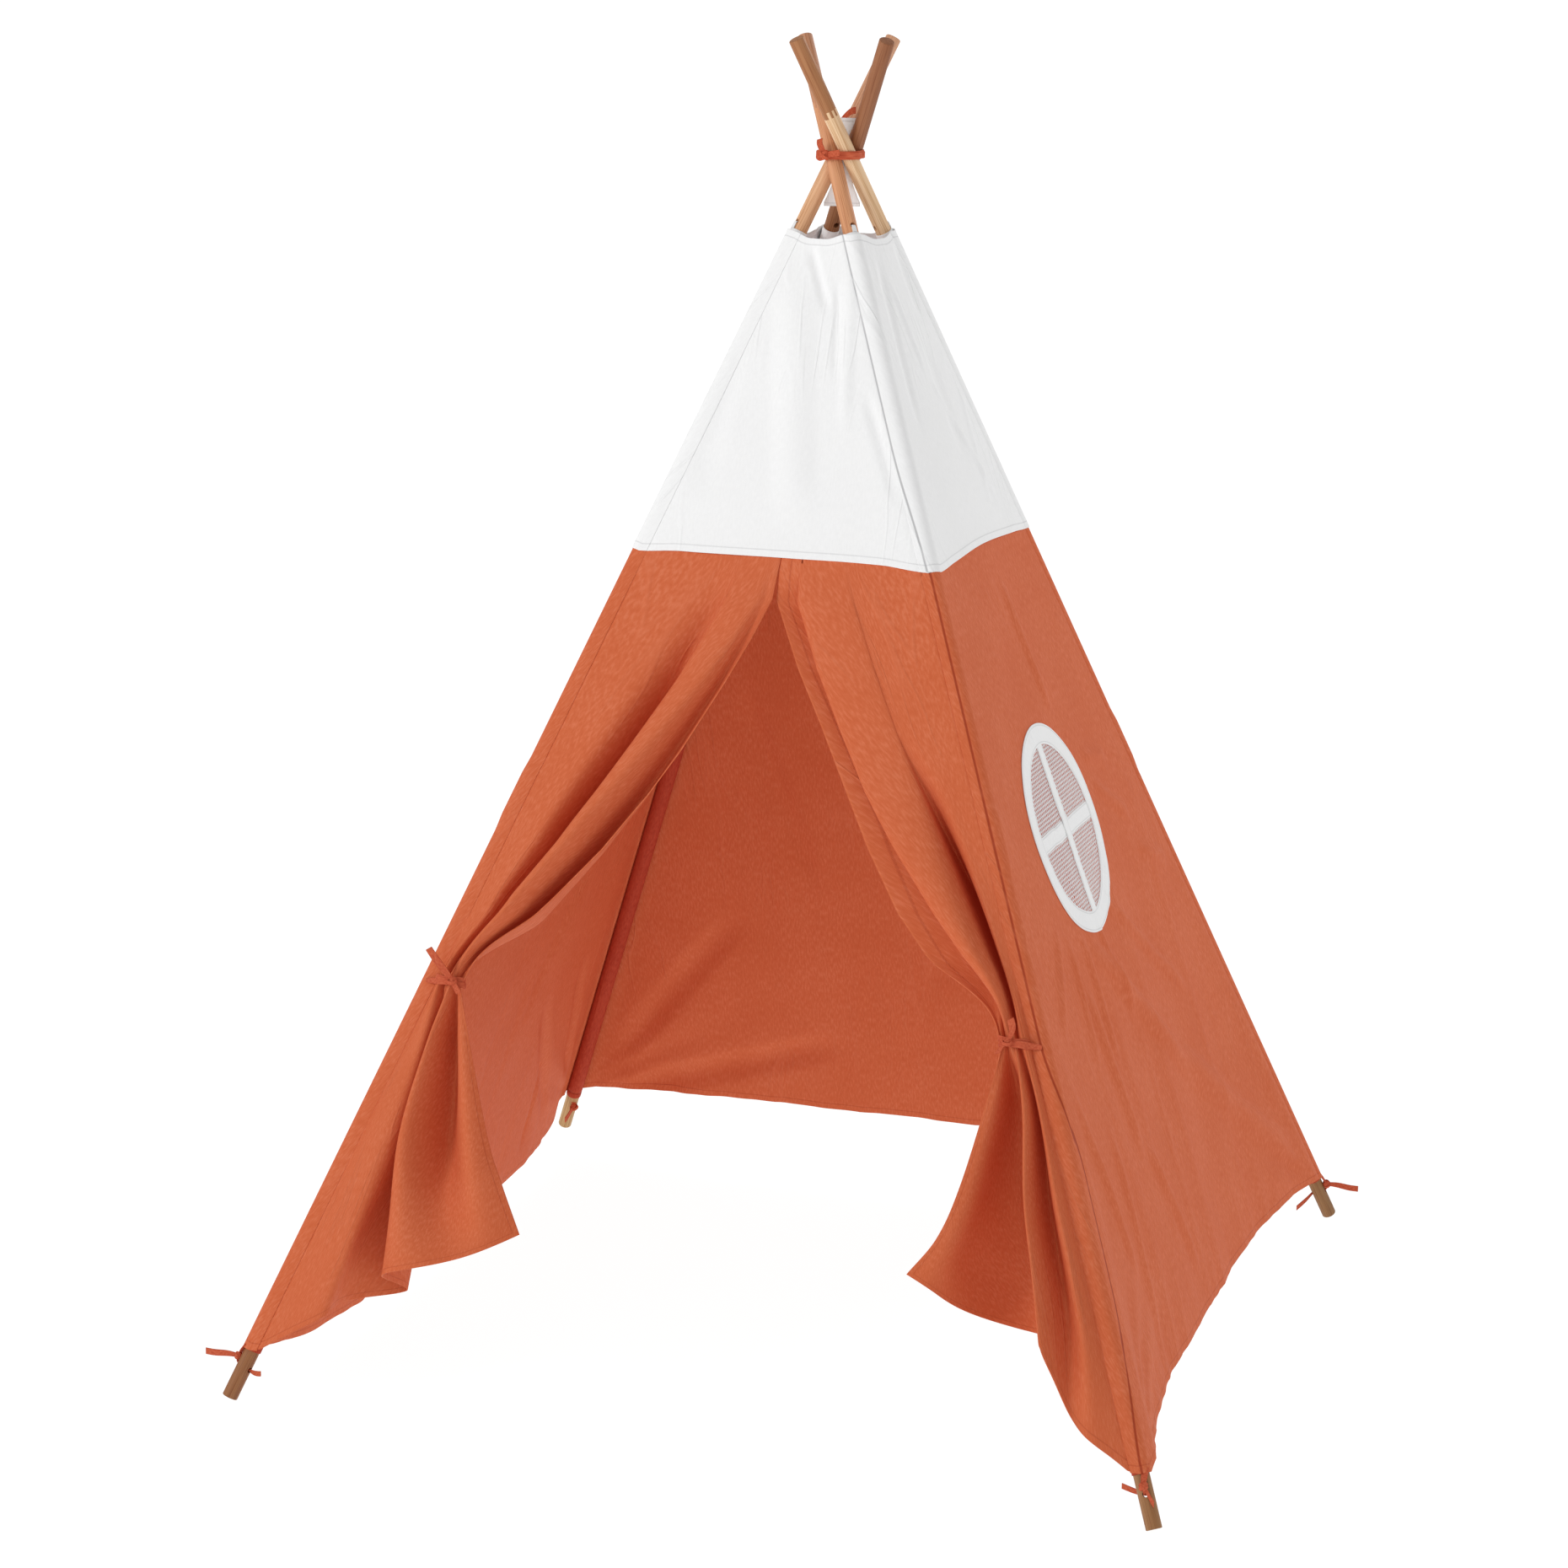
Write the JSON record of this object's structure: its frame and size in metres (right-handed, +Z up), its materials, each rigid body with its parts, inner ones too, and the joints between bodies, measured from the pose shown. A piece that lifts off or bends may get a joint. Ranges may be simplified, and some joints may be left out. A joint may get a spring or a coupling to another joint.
{
  "type": "play tent",
  "caption": "Child's play tent: wooden poles lashed at the top, a white cap over terracotta cloth walls, a round netted window and door flaps tied back.",
  "frame": {"origin": "on the floor, at the middle of the tent's footprint", "axes": "+Z up; the door faces -Y; +X is to the right as seen from the door's side, where the window is"},
  "size_m": [1.3062, 1.2364, 1.7029],
  "materials": {
    "terracotta_cloth": "matt plain-woven cotton canvas",
    "white_cloth": "matt plain-woven cotton canvas",
    "white_net": "matt knitted polyester net",
    "terracotta_tape": "matt folded and stitched cotton tape",
    "white_tape": "matt folded and stitched cotton tape",
    "pine_wood": "sanded, unvarnished, finger-jointed pine dowel",
    "socket_plastic": "moulded"
  },
  "bodies": {
    "cover": {"cap_front": "white_cloth", "cap_right": "white_cloth", "cap_back": "white_cloth", "cap_left": "white_cloth", "wall_right": "terracotta_cloth", "wall_back": "terracotta_cloth", "wall_left": "terracotta_cloth", "door_flap_left": "terracotta_cloth", "door_flap_right": "terracotta_cloth", "tieback_left": "terracotta_tape", "tieback_right": "terracotta_tape", "window_ring": "white_cloth", "window_net": "white_net", "window_cross": "white_cloth", "lashing_tape": "terracotta_tape", "lashing_knot": "terracotta_tape", "lashing_loop": "terracotta_tape", "blank_tag": "white_cloth"},
    "pole_front_left": {"pole_upper_front_left": "pine_wood", "pole_lower_front_left": "pine_wood", "socket_front_left": "socket_plastic", "sleeve_front_left": "terracotta_cloth", "cap_sleeve_front_left": "white_cloth", "foot_tape_front_left": "terracotta_tape", "top_tape_front_left": "white_tape"},
    "pole_front_right": {"pole_upper_front_right": "pine_wood", "pole_lower_front_right": "pine_wood", "socket_front_right": "socket_plastic", "sleeve_front_right": "terracotta_cloth", "cap_sleeve_front_right": "white_cloth", "foot_tape_front_right": "terracotta_tape", "top_tape_front_right": "white_tape"},
    "pole_back_right": {"pole_upper_back_right": "pine_wood", "pole_lower_back_right": "pine_wood", "socket_back_right": "socket_plastic", "sleeve_back_right": "terracotta_cloth", "cap_sleeve_back_right": "white_cloth", "foot_tape_back_right": "terracotta_tape", "top_tape_back_right": "white_tape"},
    "pole_back_left": {"pole_upper_back_left": "pine_wood", "pole_lower_back_left": "pine_wood", "socket_back_left": "socket_plastic", "sleeve_back_left": "terracotta_cloth", "cap_sleeve_back_left": "white_cloth", "foot_tape_back_left": "terracotta_tape", "top_tape_back_left": "white_tape"}
  },
  "joints": [
    {"name": "front_left_fold", "type": "hinge", "parent": "cover", "child": "pole_front_left", "pos_m": [-0.01088, 0.01088, 1.553], "axis": [0.7071, -0.7071, 0], "range_deg": [0, 25], "deforming": ["blank_tag", "lashing_loop"]},
    {"name": "front_right_fold", "type": "hinge", "parent": "cover", "child": "pole_front_right", "pos_m": [-0.01088, -0.01088, 1.553], "axis": [0.7071, 0.7071, 0], "range_deg": [0, 25]},
    {"name": "back_right_fold", "type": "hinge", "parent": "cover", "child": "pole_back_right", "pos_m": [0.01088, -0.01088, 1.553], "axis": [-0.7071, 0.7071, 0], "range_deg": [0, 25]},
    {"name": "back_left_fold", "type": "hinge", "parent": "cover", "child": "pole_back_left", "pos_m": [0.01088, 0.01088, 1.553], "axis": [-0.7071, -0.7071, 0], "range_deg": [0, 25]}
  ],
  "couplings": [
    {"joint": "front_right_fold", "follows": "front_left_fold", "ratio": 1},
    {"joint": "back_right_fold", "follows": "front_left_fold", "ratio": 1},
    {"joint": "back_left_fold", "follows": "front_left_fold", "ratio": 1}
  ]
}
